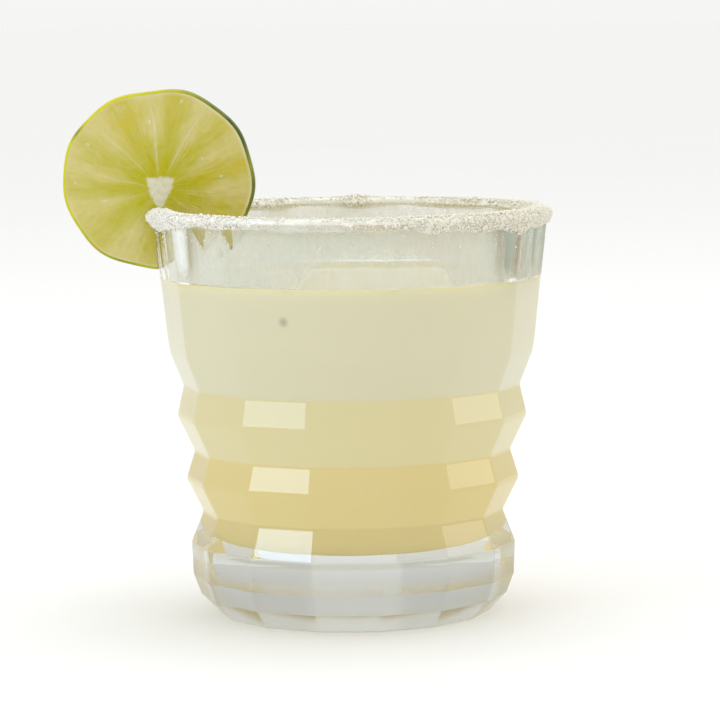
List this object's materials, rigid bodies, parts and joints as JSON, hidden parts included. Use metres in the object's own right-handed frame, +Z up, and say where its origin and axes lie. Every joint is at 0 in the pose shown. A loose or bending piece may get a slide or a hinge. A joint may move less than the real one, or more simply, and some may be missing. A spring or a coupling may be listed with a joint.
{
  "type": "margarita cocktail in a ribbed tumbler",
  "caption": "Cloudy citrus cocktail in a faceted, ribbed tumbler, with a coarse salt rim and a slit lime wheel on the lip.",
  "frame": {"origin": "on the tumbler's axis, on the surface that its foot rests on", "axes": "+Z up along the tumbler's axis, +X to the side away from the lime wheel, -Y to the front"},
  "size_m": [0.1111, 0.0911, 0.1196],
  "materials": {
    "clear_glass": "clear pressed glass, polished",
    "cloudy_drink": "cloudy pale yellow liquid, wet",
    "lime_flesh": "wet cut lime flesh with a waxy green peel",
    "salt": "rough white salt crystals"
  },
  "bodies": {
    "root": {"glass": "clear_glass", "drink": "cloudy_drink", "lime_wheel": "lime_flesh", "salt_rim": "salt"}
  },
  "joints": []
}
